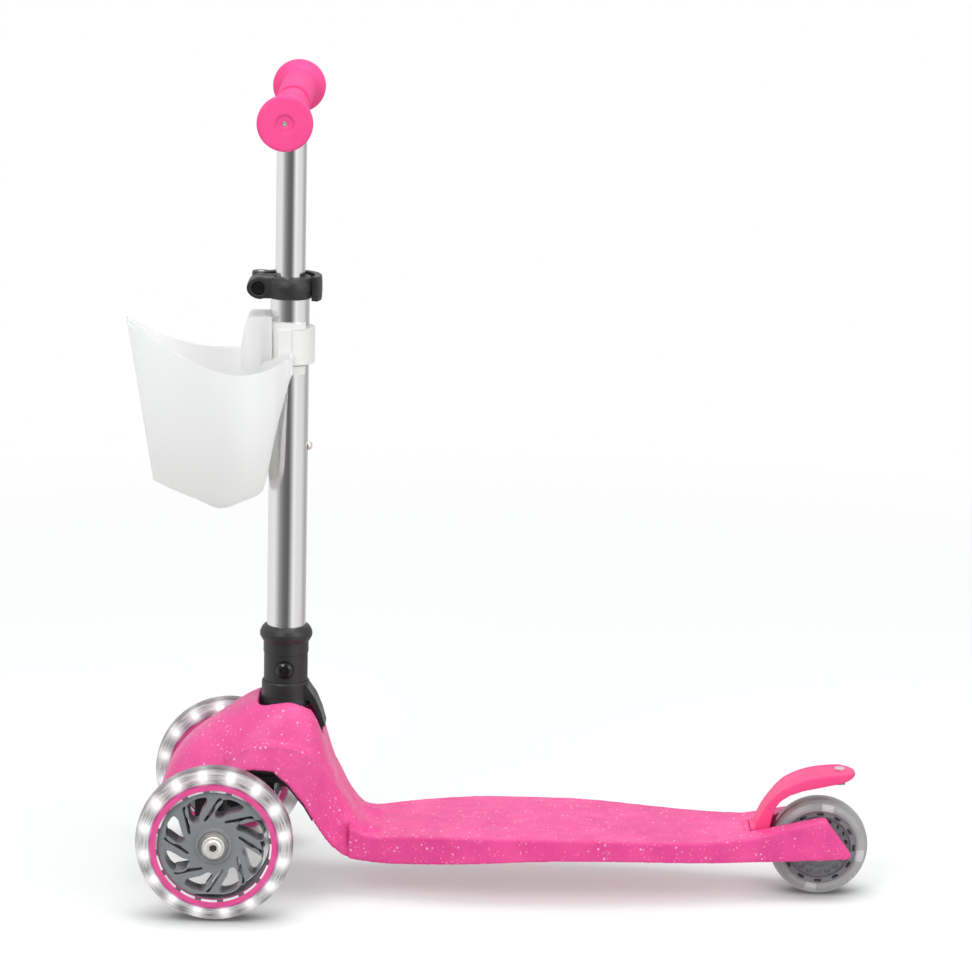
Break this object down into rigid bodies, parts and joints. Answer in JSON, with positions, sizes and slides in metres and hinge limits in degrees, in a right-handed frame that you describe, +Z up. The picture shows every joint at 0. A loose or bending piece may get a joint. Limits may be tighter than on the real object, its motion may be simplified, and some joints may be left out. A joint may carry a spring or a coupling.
{
  "type": "kick scooter",
  "caption": "Small child's three-wheeled kick scooter with lean steering, telescopic handlebar, foot brake, light-up front wheels and a clip-on front basket.",
  "frame": {"origin": "on the ground, under the middle of the outline box", "axes": "+X forwards, +Y to the rider's left, +Z up"},
  "size_m": [0.5813, 0.23, 0.6316],
  "materials": {
    "body_pink": "moulded pink plastic with silver glitter flakes",
    "black_plastic": "dark moulded nylon",
    "tube_satin": "satin anodised tube",
    "steel": "zinc plated steel",
    "spring_steel": "spring steel",
    "grip_pink": "soft pink thermoplastic rubber",
    "brake_pink": "bright pink plastic",
    "frosted": "frosted translucent plastic",
    "clip_white": "milky white plastic",
    "tyre_clear": "clear cast polyurethane",
    "tyre_smoke": "smoke grey translucent polyurethane",
    "core_grey": "grey moulded plastic",
    "ring_pink": "pink plastic",
    "light_white": "white light blocks"
  },
  "bodies": {
    "deck": {"deck_body": "body_pink", "front_chassis": "black_plastic", "arch_liner": "black_plastic", "pivot_pin": "steel", "kingpins": "steel", "chassis_screws": "steel", "left_lean_spring": "spring_steel", "right_lean_spring": "spring_steel", "rear_axle": "steel", "rear_spacers": "steel", "brake_pin": "steel", "brake_spring": "spring_steel"},
    "column": {"steering_base": "black_plastic", "socket_body": "black_plastic", "socket_ring": "black_plastic", "outer_tube": "tube_satin", "tube_bushing": "black_plastic", "guide_screw": "steel", "clamp_collar": "black_plastic", "clamp_bolt": "steel", "basket": "frosted", "basket_clip": "clip_white", "clip_strap": "clip_white", "button_spring": "spring_steel"},
    "clamp_handle": {"clamp_lever": "black_plastic", "clamp_pin": "steel"},
    "button": {"release_button": "black_plastic"},
    "handlebar": {"inner_tube": "tube_satin", "lower_glide": "black_plastic", "crossbar": "grip_pink", "left_grip": "grip_pink", "right_grip": "grip_pink"},
    "knuckle_left": {"left_knuckle": "black_plastic", "left_axle_bolt": "steel"},
    "knuckle_right": {"right_knuckle": "black_plastic", "right_axle_bolt": "steel"},
    "tie_rod": {"tie_rod": "black_plastic", "tie_rod_pins": "steel"},
    "wheel_front_left": {"left_core": "core_grey", "left_tyre": "tyre_clear", "left_ring": "ring_pink", "left_lights": "light_white", "left_bearings": "steel", "left_spacer": "steel"},
    "wheel_front_right": {"right_core": "core_grey", "right_tyre": "tyre_clear", "right_ring": "ring_pink", "right_lights": "light_white", "right_bearings": "steel", "right_spacer": "steel"},
    "wheel_rear": {"rear_core": "core_grey", "rear_tyre": "tyre_smoke", "rear_bearings": "steel", "rear_spacer": "steel"},
    "brake": {"brake_lever": "brake_pink", "brake_plate": "steel", "brake_screw": "steel"}
  },
  "joints": [
    {"name": "steering_lean", "type": "hinge", "parent": "deck", "child": "column", "pos_m": [0.16615, 0, 0.112], "axis": [1, 0, 0], "range_deg": [-11, 11], "stiffness_Nm_per_rad": 25, "deforming": ["left_lean_spring", "right_lean_spring"]},
    {"name": "handlebar_height", "type": "slide", "parent": "column", "child": "handlebar", "axis": [0, 0, 1], "range_m": [-0.085, 0.06]},
    {"name": "clamp_open", "type": "hinge", "parent": "column", "child": "clamp_handle", "pos_m": [0.18915, -0.016, 0.47175], "axis": [0, 0, 1], "range_deg": [0, 140]},
    {"name": "release_button_press", "type": "slide", "parent": "column", "child": "button", "axis": [0, -1, 0], "range_m": [0, 0.0032], "stiffness_N_per_m": 1500, "springref_m": -0.001, "deforming": ["button_spring"]},
    {"name": "knuckle_left_steer", "type": "hinge", "parent": "deck", "child": "knuckle_left", "pos_m": [0.21415, 0.06, 0.06], "axis": [0, 0, 1], "range_deg": [-8.54, 8.54]},
    {"name": "knuckle_right_steer", "type": "hinge", "parent": "deck", "child": "knuckle_right", "pos_m": [0.21415, -0.06, 0.06], "axis": [0, 0, 1], "range_deg": [-8.54, 8.54]},
    {"name": "tie_rod_shift", "type": "slide", "parent": "deck", "child": "tie_rod", "axis": [0, 1, 0], "range_m": [-0.00521, 0.00521]},
    {"name": "wheel_left_spin", "type": "hinge", "parent": "knuckle_left", "child": "wheel_front_left", "pos_m": [0.21415, 0.097, 0.06], "axis": [0, 1, 0], "continuous": true},
    {"name": "wheel_right_spin", "type": "hinge", "parent": "knuckle_right", "child": "wheel_front_right", "pos_m": [0.21415, -0.097, 0.06], "axis": [0, 1, 0], "continuous": true},
    {"name": "wheel_rear_spin", "type": "hinge", "parent": "deck", "child": "wheel_rear", "pos_m": [-0.25235, 0, 0.0385], "axis": [0, 1, 0], "continuous": true},
    {"name": "brake_press", "type": "hinge", "parent": "deck", "child": "brake", "pos_m": [-0.20435, 0, 0.045], "axis": [0, -1, 0], "range_deg": [0, 10.5], "stiffness_Nm_per_rad": 1.2, "springref_deg": -17.19, "deforming": ["brake_spring"]}
  ],
  "couplings": [
    {"joint": "tie_rod_shift", "follows": "steering_lean", "m_per_rad": 0.0266},
    {"joint": "knuckle_left_steer", "follows": "steering_lean", "ratio": -0.7493},
    {"joint": "knuckle_right_steer", "follows": "steering_lean", "ratio": -0.7493}
  ]
}
